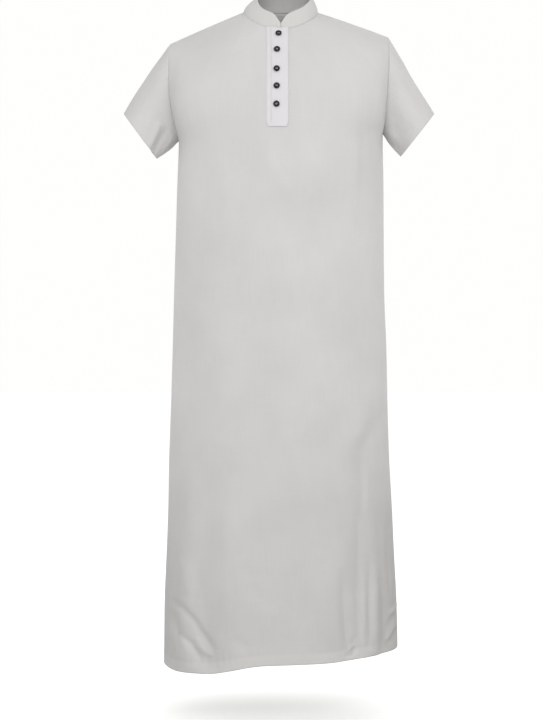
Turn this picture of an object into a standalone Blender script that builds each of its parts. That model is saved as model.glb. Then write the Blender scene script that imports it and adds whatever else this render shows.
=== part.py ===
"""Short-sleeved thobe in its worn, hollow form: a front and a back panel, two set-in sleeves, a band
collar, a half placket of two strips and five buttons.

+X is the viewer's right, the front faces -Y and +Z is up. The origin is the middle of the shoulder line
at the base of the neck. Every cloth piece is a wall between an outer and an inner skin, both worked out
from the sizes and the short tables below."""

import math

import bmesh
import bpy
from mathutils import Vector

# Driving sizes, in metres
CLOTH = 0.0016
SEAM_GAP = 0.0003
NO_LENGTH = 1e-6
STRIP_CLOTH = 0.0011
COLLAR_CLOTH = 0.0020

# Body widths and depths from the origin, one row for each height
SECTION_COLUMNS = ("height", "left", "right", "front", "back")
SECTIONS = (
    (0.020, 0.200, 0.195, 0.085, 0.068),
    (-0.060, 0.2360, 0.2300, 0.110, 0.092),
    (-0.150, 0.2360, 0.2265, 0.133, 0.116),
    (-0.220, 0.2290, 0.2215, 0.141, 0.124),
    (-0.276, 0.2165, 0.2170, 0.144, 0.126),
    (-0.333, 0.2190, 0.2195, 0.145, 0.124),
    (-0.487, 0.2240, 0.2205, 0.146, 0.120),
    (-0.615, 0.2280, 0.2220, 0.148, 0.122),
    (-0.692, 0.2300, 0.2260, 0.149, 0.126),
    (-0.821, 0.2340, 0.2290, 0.152, 0.134),
    (-0.949, 0.2385, 0.2330, 0.156, 0.142),
    (-1.052, 0.2405, 0.2390, 0.160, 0.148),
    (-1.155, 0.2445, 0.2440, 0.164, 0.155),
    (-1.257, 0.2490, 0.2495, 0.168, 0.162),
    (-1.400, 0.2505, 0.2530, 0.172, 0.168),
)
SIDE_ROUNDING = 2.7
FACE_ROUNDING = 2.2
ARMHOLE_ROUNDING = 2.2

# Shoulder line and armholes: the shoulder tip and the armpit of each side
NECK_HALF_WIDTH = 0.081
NECK_FRONT_DEPTH = 0.084
NECK_BACK_DEPTH = 0.066
NECK_FRONT_DROP = 0.044
NECK_BACK_RISE = 0.010
NECK_DROP_ROUNDING = 1.5
NECK_WALL_OUT = 0.86
NECK_WALL_UP = 0.52
TIP_HEIGHT = {-1: -0.067, 1: -0.052}
ARMPIT_HEIGHT = {-1: -0.274, 1: -0.259}
ARMHOLE_FRONT = 0.064
ARMHOLE_BACK = 0.066
ARMHOLE_WALL_RISE = 0.62
TIP_WALL_LEAN = 0.42
ARMPIT_WALL_LEAN = 0.92
ARMPIT_LEAN_START = 0.1
SHOULDER_ROLL = {-1: 0.170, 1: 0.150}
FAN_HEIGHT = 0.260
PLACKET_HALF = 0.031
PLACKET_FAN_START = 0.200
PLACKET_FAN_HEIGHT = 0.300
SHOULDER_BOW = 0.001
RELAX_ROUNDS = 12
RELAX_PULL = 0.5
RELAX_EASE_ROWS = 4
RELAX_CENTRE = 0.085
RELAX_REACH = 0.050

# Hem height against the side position: -1 is the left seam, 1 the right seam
HEM_FRONT = (
    (-1.00, -1.386),
    (-0.90, -1.388),
    (-0.61, -1.387),
    (-0.46, -1.380),
    (-0.17, -1.366),
    (0.17, -1.364),
    (0.42, -1.361),
    (0.87, -1.351),
    (1.00, -1.350),
)
HEM_BACK = ((-1.00, -1.386), (-0.50, -1.388), (0.00, -1.380), (0.50, -1.366), (1.00, -1.350))

# Columns on the neck ring from the slit out to the side, and how many cross each shoulder
SLIT_HALF = 0.0015
FRONT_NECK = {
    -1: (SLIT_HALF, 0.0195, 0.0292, 0.046, 0.061, 0.0725, 0.0785),
    1: (SLIT_HALF, 0.0156, 0.0300, 0.046, 0.061, 0.0725, 0.0785),
}
BACK_NECK = (0.020, 0.040, 0.057, 0.070, 0.078)
SHOULDER_CELLS = 7
FINE_STEPS = 160
ARMHOLE_ROWS = 10
SKIRT_ROWS = 29
HEM_ROWS = 7
RELAX_ROWS = ARMHOLE_ROWS + 3
HEM_ZONE = 0.150
CHEST_HEIGHT = -0.268

# Placket: heights of the slit's end, of the boxed end's top and of its lower edge
SLIT_END = -0.232
BOX_TOP = -0.2375
PLACKET_END = -0.2527
BOX_CORNER = 0.004
LEAST_ROW_STEP = 0.08

# Large folds, a row each: ends in x and height, half-width and rise, negative for a trough. A fold that
# ends below HEM_FOLD_HEIGHT runs out through the hem.
HEM_FOLD_HEIGHT = -1.33
FOLD_OVERRUN = 0.1
FOLD_EASE = 0.35
FOLD_EDGE_FADE = 0.035
FOLD_TOP_FADE = 0.060
FOLD_COLUMNS = ("x0", "z0", "x1", "z1", "width", "rise")
FRONT_FOLDS = (
    (-0.045, -0.270, 0.048, -0.440, 0.022, 0.0035),
    (-0.015, -0.290, 0.080, -0.450, 0.024, -0.0030),
    (0.156, -0.190, 0.160, -0.400, 0.018, 0.0040),
    (0.128, -0.180, 0.136, -0.420, 0.022, -0.0030),
    (-0.095, -0.380, -0.088, -0.480, 0.014, -0.0020),
    (0.215, -0.830, 0.160, -0.985, 0.018, -0.0060),
    (0.190, -0.800, 0.120, -0.960, 0.024, 0.0040),
    (0.186, -0.980, 0.192, -1.340, 0.015, 0.0060),
    (0.168, -0.960, 0.164, -1.340, 0.015, -0.0060),
    (0.140, -1.180, 0.138, -1.360, 0.016, -0.0050),
    (0.215, -1.230, 0.212, -1.350, 0.012, -0.0050),
    (-0.190, -0.900, -0.205, -1.380, 0.022, 0.0070),
    (-0.150, -0.980, -0.160, -1.390, 0.022, -0.0060),
    (-0.095, -1.050, -0.085, -1.390, 0.030, 0.0050),
    (-0.232, -1.270, -0.150, -1.360, 0.012, -0.0060),
    (-0.218, -1.325, -0.165, -1.385, 0.011, 0.0050),
    (0.030, -1.000, 0.045, -1.380, 0.034, -0.0035),
)
BACK_FOLDS = (
    (-0.060, -0.110, -0.020, -0.420, 0.030, -0.0050),
    (0.060, -0.110, 0.020, -0.420, 0.030, -0.0050),
    (0.000, -0.300, 0.000, -0.620, 0.032, 0.0050),
    (-0.130, -0.520, -0.140, -1.390, 0.030, 0.0100),
    (-0.085, -0.600, -0.080, -1.390, 0.026, -0.0100),
    (-0.030, -0.700, -0.025, -1.390, 0.028, 0.0070),
    (0.040, -0.640, 0.045, -1.390, 0.026, -0.0090),
    (0.095, -0.560, 0.100, -1.390, 0.030, 0.0100),
    (0.150, -0.700, 0.160, -1.370, 0.022, -0.0080),
    (-0.190, -0.760, -0.200, -1.380, 0.020, -0.0070),
    (0.200, -0.860, 0.205, -1.350, 0.018, 0.0060),
)
# Sleeve folds: where along the sleeve they are full, the angle round it from the top, half-width and rise
SLEEVE_FOLD_COLUMNS = ("full_at", "turn", "width", "rise")
SLEEVE_FOLDS = (
    (0.30, 1.35, 0.45, 0.0040),
    (0.55, 2.30, 0.40, -0.0045),
    (0.40, 3.60, 0.45, 0.0040),
    (0.55, 5.10, 0.45, -0.0040),
)

# Sleeve hems: middle of the opening, its half-height and half-depth, and its tilt from upright
SLEEVE_COLUMNS = ("side", "x", "y", "z", "half_height", "half_depth", "tilt", "cap")
SLEEVES = (
    (-1, -0.2990, -0.004, -0.2618, 0.0600, 0.0640, math.radians(36.4), 0.0030),
    (1, 0.2915, -0.004, -0.2600, 0.0580, 0.0640, math.radians(38.2), -0.0010),
)
SLEEVE_ROWS = 7
SLEEVE_GAP = 0.00045
SLEEVE_FOLD_END = 1.15
SLEEVE_FOLD_EASE = 0.5

# Collar: heights and how far its top leans in
COLLAR_HEIGHT = 0.033
COLLAR_LEAN = {"left": 0.030, "right": 0.013, "front": 0.007, "back": 0.014}
COLLAR_END_HEIGHT = 0.012
COLLAR_FACE_UP = 0.35
COLLAR_TURN_RATE = 1.5
WING_LENGTH = 0.021
WING_ROUNDING = 1.7
WING_STEPS = (0.0, 0.22, 0.48, 0.75, 1.0)
COLLAR_ROWS = 3

# Buttons, on the middle of the over placket
BUTTON_X = (-0.0044, -0.0078, -0.0085, -0.0086, -0.0091)
BUTTON_HEIGHTS = (-0.0571, -0.0917, -0.1333, -0.1691, -0.2067)
BUTTON_RADIUS = 0.0066
BUTTON_THICKNESS = 0.0026
# Half outline of a button, from the middle of its back: shares of its radius and thickness
BUTTON_PROFILE = (
    (0.00, 0.00),
    (0.80, 0.00),
    (1.00, 0.40),
    (0.97, 0.80),
    (0.86, 1.00),
    (0.62, 0.65),
    (0.00, 0.65),
)
BUTTON_HOLE_RADIUS = 0.0008
BUTTON_HOLE_SPREAD = 0.0014
BUTTON_SIDES = 20
HOLE_SIDES = 6
BUTTON_ROW = 4
BUTTON_FOOTING = 0.9
RIM_SAMPLES = 16
RIM_SHARES = (0.5, 1.0)

CLOTH_COLOUR = (0.66, 0.65, 0.63, 1.0)
PLACKET_COLOUR = (0.74, 0.73, 0.73, 1.0)
BUTTON_COLOUR = (0.012, 0.012, 0.013, 1.0)


def clear_scene():
    for obj in list(bpy.data.objects):
        bpy.data.objects.remove(obj, do_unlink=True)


def new_collection(name):
    collection = bpy.data.collections.new(name)
    bpy.context.scene.collection.children.link(collection)
    return collection


def new_material(name, colour, roughness):
    material = bpy.data.materials.new(name)
    material.use_nodes = True
    shader = material.node_tree.nodes["Principled BSDF"]
    shader.inputs["Base Color"].default_value = colour
    shader.inputs["Roughness"].default_value = roughness
    shader.inputs["Metallic"].default_value = 0.0
    return material


def add_object(name, mesh, material, collection):
    mesh.materials.append(material)
    mesh.shade_smooth()
    mesh.set_sharp_from_angle(angle=math.radians(50))
    obj = bpy.data.objects.new(name, mesh)
    collection.objects.link(obj)
    return obj


def smooth(t):
    t = min(max(t, 0.0), 1.0)
    return t * t * (3.0 - 2.0 * t)


def curve_at(points, t):
    """The value at t of a smooth curve through (t, value) points in rising order of t."""
    if t <= points[0][0]:
        return points[0][1]
    if t >= points[-1][0]:
        return points[-1][1]
    k = max(i for i in range(len(points) - 1) if points[i][0] <= t)
    (t0, v0), (t1, v1) = points[k], points[k + 1]
    slope = (v1 - v0) / (t1 - t0)
    before = (v0 - points[k - 1][1]) / (t0 - points[k - 1][0]) if k > 0 else slope
    after = (points[k + 2][1] - v1) / (points[k + 2][0] - t1) if k + 2 < len(points) else slope
    m0 = 2 * before * slope / (before + slope) if before * slope > 0 else 0.0
    m1 = 2 * after * slope / (after + slope) if after * slope > 0 else 0.0
    s, step = (t - t0) / (t1 - t0), t1 - t0
    return (
        v0 * (2 * s**3 - 3 * s**2 + 1)
        + m0 * step * (s**3 - 2 * s**2 + s)
        + v1 * (3 * s**2 - 2 * s**3)
        + m1 * step * (s**3 - s**2)
    )


def section(column, z):
    """A body size from SECTIONS at height z."""
    at = SECTION_COLUMNS.index(column)
    return curve_at([(row[0], row[at]) for row in reversed(SECTIONS)], z)


def half_width(side, z):
    return section("left" if side < 0 else "right", z)


def armhole_depth(side, front, z):
    """How far the armhole's edge stands off the middle plane at height z."""
    top, bottom = TIP_HEIGHT[side], ARMPIT_HEIGHT[side]
    middle, half = (top + bottom) / 2, (top - bottom) / 2
    reach = ARMHOLE_FRONT if front else ARMHOLE_BACK
    inside = 1 - abs((z - middle) / half) ** ARMHOLE_ROUNDING
    return reach * math.sqrt(inside) if inside > 0 else 0.0


def tip_of(side):
    return side * half_width(side, TIP_HEIGHT[side]), TIP_HEIGHT[side]


def neck_ring(x, front):
    """The point of the neck ring over x."""
    across = min(abs(x) / NECK_HALF_WIDTH, 1.0)
    along = math.sqrt(1 - across**2)
    if front:
        return Vector((x, -NECK_FRONT_DEPTH * along, -NECK_FRONT_DROP * along**NECK_DROP_ROUNDING))
    return Vector((x, NECK_BACK_DEPTH * along, NECK_BACK_RISE * along))


def shoulder_point(side, share):
    """A point of the shoulder seam, from the neck at 0 to the tip at 1."""
    tip_x, tip_z = tip_of(side)
    x = side * NECK_HALF_WIDTH + (tip_x - side * NECK_HALF_WIDTH) * share
    return Vector((x, 0.0, tip_z * share + SHOULDER_BOW * math.sin(math.pi * share)))


def top_points(front):
    """The panel's top edge from the left tip to the right tip: neck ring between two shoulder seams."""
    points = []
    for side in (-1, 1):
        neck = FRONT_NECK[side] if front else BACK_NECK
        half = [neck_ring(side * x, front) for x in neck]
        half += [shoulder_point(side, k / SHOULDER_CELLS) for k in range(SHOULDER_CELLS + 1)]
        points.append(half)
    middle = [] if front else [neck_ring(0.0, False)]
    return list(reversed(points[0])) + middle + points[1]


def column_shares(count):
    """Sideways shares from -1 to 1 of a panel's columns, close together at the side seams."""
    return [-math.cos(math.pi * j / (count - 1)) for j in range(count)]


def fold_rise(folds, x, z):
    """The sum of the folds' heights over (x, z)."""
    total = 0.0
    for row in folds:
        fold = dict(zip(FOLD_COLUMNS, row))
        run_x, run_z = fold["x1"] - fold["x0"], fold["z1"] - fold["z0"]
        from_x, from_z = x - fold["x0"], z - fold["z0"]
        along = (from_x * run_x + from_z * run_z) / (run_x**2 + run_z**2)
        nearest = min(max(along, 0.0), 1.0)
        gap_sq = (from_x - run_x * nearest) ** 2 + (from_z - run_z * nearest) ** 2
        ends = smooth((along + FOLD_OVERRUN) / FOLD_EASE)
        if fold["z1"] > HEM_FOLD_HEIGHT:
            ends *= smooth((1 + FOLD_OVERRUN - along) / FOLD_EASE)
        total += fold["rise"] * ends * math.exp(-gap_sq / fold["width"] ** 2)
    return total


class Panel:
    """A front or back panel as a grid: rows run down, columns from the left seam to the right seam."""

    def __init__(self, front):
        self.front = front
        self.turn = -1 if front else 1
        self.tops = top_points(front)
        self.count = len(self.tops)
        self.shares = column_shares(self.count)
        self.hem = HEM_FRONT if front else HEM_BACK
        self.folds = FRONT_FOLDS if front else BACK_FOLDS
        self.rows = ARMHOLE_ROWS + SKIRT_ROWS + 1
        base = [self.column(j) for j in range(self.count)]
        self.base = [[base[j][i] for j in range(self.count)] for i in range(self.rows)]
        self.relax()
        self.normals = [[self.normal(i, j) for j in range(self.count)] for i in range(self.rows)]
        self.points = [
            [self.folded(i, j) for j in range(self.count)] for i in range(self.rows)
        ]

    def side_of(self, j):
        return -1 if self.shares[j] < 0 else 1

    def surface(self, j, z):
        """The unfolded surface in column j at height z."""
        share, side, top = self.shares[j], self.side_of(j), self.tops[j]
        drop = max(top.z - z, 0.0)
        roll_height = SHOULDER_ROLL[self.turn]
        roll = math.sqrt(1 - (1 - min(drop / roll_height, 1.0)) ** 2)
        width = half_width(side, z)
        section_x = side * width * abs(share)
        if self.front and abs(top.x) < PLACKET_HALF:
            fan = smooth((drop - PLACKET_FAN_START) / PLACKET_FAN_HEIGHT)
        else:
            fan = smooth(drop / FAN_HEIGHT)
        x = top.x + (section_x - top.x) * fan
        across = min(abs(x) / width, 1.0)
        crown = (1 - across**SIDE_ROUNDING) ** (1 / FACE_ROUNDING)
        edge = armhole_depth(side, self.front, z)
        depth = section("front" if self.front else "back", z)
        y = abs(top.y) * (1 - roll) + edge * (1 - crown) + depth * crown * roll
        return Vector((x, self.turn * max(y, SEAM_GAP / 2), z))

    def column(self, j):
        """Column j from its top edge to the hem: even steps to the armpit's level, then down the skirt."""
        side, top = self.side_of(j), self.tops[j]
        edge = j in (0, self.count - 1)
        middle = 1 - abs(self.shares[j]) ** 2
        chest = ARMPIT_HEIGHT[side] * (1 - middle) + CHEST_HEIGHT * middle
        if edge:
            tip_x, tip_z = tip_of(side)
            half = (tip_z - chest) / 2
            upper = []
            for i in range(ARMHOLE_ROWS + 1):
                z = chest + half * (1 + math.cos(math.pi * i / ARMHOLE_ROWS))
                upper.append(self.edge_point(side, z))
        else:
            upper = self.even_steps(j, top.z, chest, ARMHOLE_ROWS)
            upper[0] = Vector((top.x, self.turn * max(abs(top.y), SEAM_GAP / 2), top.z))
        hem = curve_at(self.hem, self.shares[j])
        knee = hem + HEM_ZONE
        lower = []
        for i in range(1, SKIRT_ROWS + 1):
            long_rows = SKIRT_ROWS - HEM_ROWS
            if i <= long_rows:
                z = chest + (knee - chest) * i / long_rows
            else:
                z = knee + (hem - knee) * (i - long_rows) / HEM_ROWS
            lower.append(self.edge_point(side, z) if edge else self.surface(j, z))
        return upper + lower

    def relax(self):
        """Eases the cloth beside the neck: each inner point moves in depth and height towards its row."""
        for _ in range(RELAX_ROUNDS):
            for i in range(1, RELAX_ROWS):
                row = [point.copy() for point in self.base[i]]
                pull = RELAX_PULL * smooth((RELAX_ROWS - i) / RELAX_EASE_ROWS)
                for j in range(1, self.count - 1):
                    before, after = row[j - 1], row[j + 1]
                    share = (row[j].x - before.x) / (after.x - before.x)
                    beside_neck = math.exp(-(((abs(row[j].x) - RELAX_CENTRE) / RELAX_REACH) ** 2))
                    eased = row[j].lerp(before.lerp(after, share), pull * beside_neck)
                    self.base[i][j] = Vector((row[j].x, eased.y, eased.z))

    def edge_point(self, side, z):
        depth = max(armhole_depth(side, self.front, z), SEAM_GAP / 2)
        return Vector((side * half_width(side, z), self.turn * depth, z))

    def even_steps(self, j, z_top, z_end, steps):
        """Points of column j at even distances along its surface between two heights."""
        curve = []
        for k in range(FINE_STEPS + 1):
            share = (k / FINE_STEPS) ** 2
            curve.append(self.surface(j, z_top + (z_end - z_top) * share))
        along = [0.0]
        for a, b in zip(curve, curve[1:]):
            along.append(along[-1] + (b - a).length)
        points = []
        for step in range(steps + 1):
            want = along[-1] * step / steps
            k = max(i for i in range(FINE_STEPS) if along[i] <= want + NO_LENGTH)
            part = (want - along[k]) / max(along[k + 1] - along[k], NO_LENGTH)
            points.append(curve[k].lerp(curve[k + 1], min(max(part, 0.0), 1.0)))
        return points

    def normal(self, i, j):
        """The direction in which the wall's thickness is measured, the same on both sides of a seam."""
        side = self.side_of(j)
        last = self.count - 1
        if j in (0, last):
            if i > ARMHOLE_ROWS:
                run = self.base[i][j] - self.base[i - 1][j]
                return Vector((-run.z, 0.0, run.x)).normalized() * side
            return armhole_normal(side, self.base[i][j])
        if i == 0:
            return self.top_normal(j)
        down = self.base[min(i + 1, self.rows - 1)][j] - self.base[i - 1][j]
        across = self.base[i][j + 1] - self.base[i][j - 1]
        found = down.cross(across).normalized()
        return found if found.y * self.turn > 0 else -found

    def top_normal(self, j):
        """The wall's direction on the neck ring, or square to the shoulder seam."""
        top = self.tops[j]
        if abs(top.x) < NECK_HALF_WIDTH - NO_LENGTH:
            return neck_normal(top)
        if abs(top.x) < NECK_HALF_WIDTH + NO_LENGTH:
            return neck_normal(Vector((top.x, 0.0, top.z)))
        run = self.tops[j + 1] - self.tops[j - 1]
        return Vector((-run.z, 0.0, run.x)).normalized()

    def folded(self, i, j):
        point, normal = self.base[i][j], self.normals[i][j]
        if i == 0 or j in (0, self.count - 1):
            return point.copy()
        edge_fade = smooth((1 - abs(self.shares[j])) / FOLD_EDGE_FADE)
        top_fade = smooth((self.base[0][j].z - point.z) / FOLD_TOP_FADE)
        rise = fold_rise(self.folds, point.x, point.z) * edge_fade * top_fade
        return point + normal * rise

    def at(self, row, j):
        """The point and wall direction of column j at a fractional row."""
        i = min(int(row), self.rows - 2)
        part = row - i
        point = self.points[i][j].lerp(self.points[i + 1][j], part)
        normal = self.normals[i][j].lerp(self.normals[i + 1][j], part).normalized()
        return point, normal

    def row_at(self, z, j):
        """The fractional row of column j at height z."""
        i = max(k for k in range(self.rows - 1) if self.points[k][j].z >= z)
        above, below = self.points[i][j].z, self.points[i + 1][j].z
        return i + (above - z) / (above - below)


def neck_normal(point):
    """Halfway between the way the body's cloth faces at the neck and the way the collar does."""
    out = Vector((point.x / NECK_HALF_WIDTH**2, point.y / NECK_FRONT_DEPTH**2, 0.0)).normalized()
    return (out * NECK_WALL_OUT + Vector((0, 0, NECK_WALL_UP))).normalized()


def armhole_normal(side, point):
    """Straight out from the armhole's middle, leaning away from the body, more so at the armpit."""
    top, bottom = TIP_HEIGHT[side], ARMPIT_HEIGHT[side]
    middle, half = (top + bottom) / 2, (top - bottom) / 2
    rise = (point.z - middle) / half
    sideways = 0.0 if abs(point.y) < SEAM_GAP else point.y / ARMHOLE_FRONT
    radial = Vector((0.0, sideways, rise * half / ARMHOLE_FRONT * ARMHOLE_WALL_RISE)).normalized()
    lower = smooth((-rise - ARMPIT_LEAN_START) / (1 - ARMPIT_LEAN_START))
    lean = TIP_WALL_LEAN + (ARMPIT_WALL_LEAN - TIP_WALL_LEAN) * lower
    return (radial + Vector((side * lean, 0.0, 0.0))).normalized()


def cloth_wall(name, outer, inner, cells, material, collection, closed=False):
    """A closed wall from two grids of points: both skins over the kept cells, and a rim round their edges."""
    columns = len(outer[0])
    mesh = bpy.data.meshes.new(name)
    bm = bmesh.new()
    made = {}

    def vert(skin, i, j):
        if (skin, i, j) not in made:
            made[(skin, i, j)] = bm.verts.new((outer, inner)[skin][i][j])
        return made[(skin, i, j)]

    rims = {}
    for i, j in cells:
        following = (j + 1) % columns if closed else j + 1
        ring = ((i, j), (i + 1, j), (i + 1, following), (i, following))
        bm.faces.new([vert(0, *corner) for corner in ring])
        bm.faces.new([vert(1, *corner) for corner in reversed(ring)])
        for a, b in zip(ring, ring[1:] + ring[:1]):
            key = frozenset((a, b))
            rims[key] = None if key in rims else (a, b)
    for pair in filter(None, rims.values()):
        a, b = pair
        bm.faces.new((vert(0, *b), vert(0, *a), vert(1, *a), vert(1, *b)))
    bmesh.ops.recalc_face_normals(bm, faces=bm.faces)
    if bm.calc_volume(signed=True) < 0:
        bmesh.ops.reverse_faces(bm, faces=bm.faces)
    bm.to_mesh(mesh)
    bm.free()
    return add_object(name, mesh, material, collection)


def panel_cells(panel):
    """All the panel's cells but those of the front's slit."""
    cells = []
    slit = panel.count // 2 - 1
    slit_rows = int(panel.row_at(SLIT_END, slit)) if panel.front else 0
    for i in range(panel.rows - 1):
        for j in range(panel.count - 1):
            if not (panel.front and j == slit and i < slit_rows):
                cells.append((i, j))
    return cells


def add_panel(name, panel, material, collection):
    inner = [
        [p - n * CLOTH for p, n in zip(row, normals)]
        for row, normals in zip(panel.points, panel.normals)
    ]
    cloth_wall(name, panel.points, inner, panel_cells(panel), material, collection)


def armhole_ring(side, front, back):
    """The armhole's edge from the tip down the front and up the back, with its wall directions."""
    j_front = 0 if side < 0 else front.count - 1
    j_back = 0 if side < 0 else back.count - 1
    ring = [front.points[i][j_front] for i in range(ARMHOLE_ROWS + 1)]
    ring += [back.points[i][j_back] for i in range(ARMHOLE_ROWS - 1, 0, -1)]
    directions = [front.normals[i][j_front] for i in range(ARMHOLE_ROWS + 1)]
    directions += [back.normals[i][j_back] for i in range(ARMHOLE_ROWS - 1, 0, -1)]
    ring = [p.copy() for p in ring]
    ring[0].y = ring[ARMHOLE_ROWS].y = 0.0
    return ring, directions


def add_sleeve(name, row, front, back, material, collection):
    size = dict(zip(SLEEVE_COLUMNS, row))
    side = size["side"]
    ring, directions = armhole_ring(side, front, back)
    count = len(ring)
    away = Vector((side * SLEEVE_GAP, 0, 0))
    middle = Vector((size["x"], size["y"], size["z"]))
    up = Vector((side * math.sin(size["tilt"]), 0, math.cos(size["tilt"])))
    axis = Vector((side * math.cos(size["tilt"]), 0, -math.sin(size["tilt"])))
    hem = []
    for k in range(count):
        angle = 2 * math.pi * k / count
        hem.append(
            middle
            + up * (size["half_height"] * math.cos(angle))
            + Vector((0, -1, 0)) * (size["half_depth"] * math.sin(angle))
        )
    outer = []
    for i in range(SLEEVE_ROWS + 1):
        t = i / SLEEVE_ROWS
        line = []
        for k in range(count):
            angle = 2 * math.pi * k / count
            point = (ring[k] + away).lerp(hem[k], t)
            cap = size["cap"] * math.sin(math.pi * t) * max(math.cos(angle), 0.0) ** 2
            for fold_row in SLEEVE_FOLDS:
                fold = dict(zip(SLEEVE_FOLD_COLUMNS, fold_row))
                gap = (angle - fold["turn"] + math.pi) % (2 * math.pi) - math.pi
                along = smooth(t / fold["full_at"])
                along *= smooth((SLEEVE_FOLD_END - t) / SLEEVE_FOLD_EASE)
                cap += fold["rise"] * along * math.exp(-((gap / fold["width"]) ** 2))
            line.append(point + (up * math.cos(angle) + Vector((0, -math.sin(angle), 0))) * cap)
        outer.append(line)
    inner = []
    for i in range(SLEEVE_ROWS + 1):
        line = []
        for k in range(count):
            if i == 0:
                direction = directions[k]
            else:
                along = outer[min(i + 1, SLEEVE_ROWS)][k] - outer[i - 1][k]
                round_it = outer[i][(k + 1) % count] - outer[i][k - 1]
                direction = along.cross(round_it).normalized()
                centre = sum(outer[i], Vector()) / count
                if direction.dot(outer[i][k] - centre) < 0:
                    direction = -direction
                if i == SLEEVE_ROWS:
                    direction = (direction - axis * direction.dot(axis)).normalized()
            line.append(outer[i][k] - direction * CLOTH)
        inner.append(line)
    cells = [(i, k) for i in range(SLEEVE_ROWS) for k in range(count)]
    cloth_wall(name, outer, inner, cells, material, collection, closed=True)


def collar_base(front, back):
    """The neck ring from the slit's right edge round the back to its left edge, with wall directions."""
    reach = NECK_HALF_WIDTH + NO_LENGTH
    right_front = [j for j in range(front.count) if 0 < front.tops[j].x < reach]
    left_front = [j for j in range(front.count) if -reach < front.tops[j].x < 0]
    across_back = [
        j for j in range(back.count) if abs(back.tops[j].x) < NECK_HALF_WIDTH - NO_LENGTH
    ]
    points = [(front.points[0][j], front.normals[0][j]) for j in right_front]
    points += [(back.points[0][j], back.normals[0][j]) for j in reversed(across_back)]
    points += [(front.points[0][j], front.normals[0][j]) for j in left_front]
    found = []
    for point, direction in points:
        at_side = abs(abs(point.x) - NECK_HALF_WIDTH) < NO_LENGTH
        found.append((Vector((point.x, 0.0 if at_side else point.y, point.z)), direction))
    return found


def split_ends(base):
    """The collar's columns: the neck ring's points, with more beside each front end for the wings."""
    columns = []
    last = len(base) - 1
    for k, (point, direction) in enumerate(base):
        columns.append((point, direction))
        if k == last:
            break
        following, next_direction = base[k + 1]
        if k in (0, last - 1):
            steps = WING_STEPS[1:-1] if k == 0 else [1 - s for s in reversed(WING_STEPS[1:-1])]
        else:
            steps = ()
        for step in steps:
            columns.append((point.lerp(following, step), direction.lerp(next_direction, step).normalized()))
    return columns


def add_collar(front, back, material, collection):
    columns = split_ends(collar_base(front, back))
    along = [0.0]
    for (a, _), (b, _) in zip(columns, columns[1:]):
        along.append(along[-1] + (b - a).length)
    outer = [[] for _ in range(COLLAR_ROWS + 1)]
    inner = [[] for _ in range(COLLAR_ROWS + 1)]
    last = len(columns) - 1
    for k, (point, direction) in enumerate(columns):
        before, after = columns[max(k - 1, 0)][0], columns[min(k + 1, last)][0]
        lift = direction.cross(after - before).normalized()
        lift = lift if lift.z > 0 else -lift
        foot = point + lift * SEAM_GAP
        out = Vector((point.x / NECK_HALF_WIDTH**2, point.y / NECK_FRONT_DEPTH**2, 0.0)).normalized()
        sideways = COLLAR_LEAN["left" if out.x < 0 else "right"]
        endways = COLLAR_LEAN["front" if out.y < 0 else "back"]
        lean = sideways * out.x**2 + endways * out.y**2
        to_end = min(along[k], along[-1] - along[k])
        wing = 1 - (1 - min(to_end / WING_LENGTH, 1.0)) ** WING_ROUNDING
        height = COLLAR_END_HEIGHT + (COLLAR_HEIGHT - COLLAR_END_HEIGHT) * wing
        facing = (out + Vector((0, 0, COLLAR_FACE_UP))).normalized()
        for i in range(COLLAR_ROWS + 1):
            t = i / COLLAR_ROWS
            rise = height * t
            in_shift = lean * smooth(rise / COLLAR_HEIGHT * 0.5) * 2
            skin = foot + Vector((0, 0, rise)) - out * in_shift
            thick_way = direction.lerp(facing, smooth(t * COLLAR_TURN_RATE)).normalized()
            outer[i].append(skin)
            inner[i].append(skin - thick_way * COLLAR_CLOTH)
    cells = [(i, k) for i in range(COLLAR_ROWS) for k in range(last)]
    cloth_wall("collar", outer, inner, cells, material, collection)


def strip_grid(panel, columns, rows, lift, drawn_in=0.0):
    """Points of the panel's own grid moved out by lift, with the last row's ends drawn in."""
    grid = []
    for row in rows:
        line = []
        for j in columns:
            point, normal = panel.at(row, j)
            line.append(point + normal * lift)
        grid.append(line)
    last = grid[-1]
    for end, beside in ((0, 1), (-1, -2)):
        run = last[beside] - last[end]
        last[end] = last[end] + run.normalized() * drawn_in
    return grid


def placket_rows(panel, j, heights):
    """Whole rows down to each height, with the fractional rows at the heights themselves."""
    ends = [panel.row_at(z, j) for z in heights]
    rows = [float(i) for i in range(int(ends[-1]) + 1)]
    rows += [end for end in ends if min(abs(end - row) for row in rows) > LEAST_ROW_STEP]
    return sorted(rows)


def add_plackets(panel, material, collection):
    """The under strip over the whole width, then the over strip, whose boxed end covers the whole width."""
    slit = panel.count // 2 - 1
    columns = [slit - 2, slit - 1, slit, slit + 1, slit + 2]
    rows = placket_rows(panel, slit, (BOX_TOP, PLACKET_END))
    under_in = SEAM_GAP
    under_out = under_in + STRIP_CLOTH
    over_in = under_out + SEAM_GAP
    over_out = over_in + STRIP_CLOTH
    under_rows = rows[:-1]
    cells = [(i, k) for i in range(len(under_rows) - 1) for k in range(len(columns) - 1)]
    cloth_wall(
        "placket_under",
        strip_grid(panel, columns, under_rows, under_out),
        strip_grid(panel, columns, under_rows, under_in),
        cells,
        material,
        collection,
    )
    cells = [(i, k) for i in range(len(rows) - 1) for k in range(1, len(columns) - 1)]
    cells.append((len(rows) - 2, 0))
    outer = strip_grid(panel, columns, rows, over_out, BOX_CORNER)
    inner = strip_grid(panel, columns, rows, over_in, BOX_CORNER)
    cloth_wall("placket_over", outer, inner, cells, material, collection)
    return over_out


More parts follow.
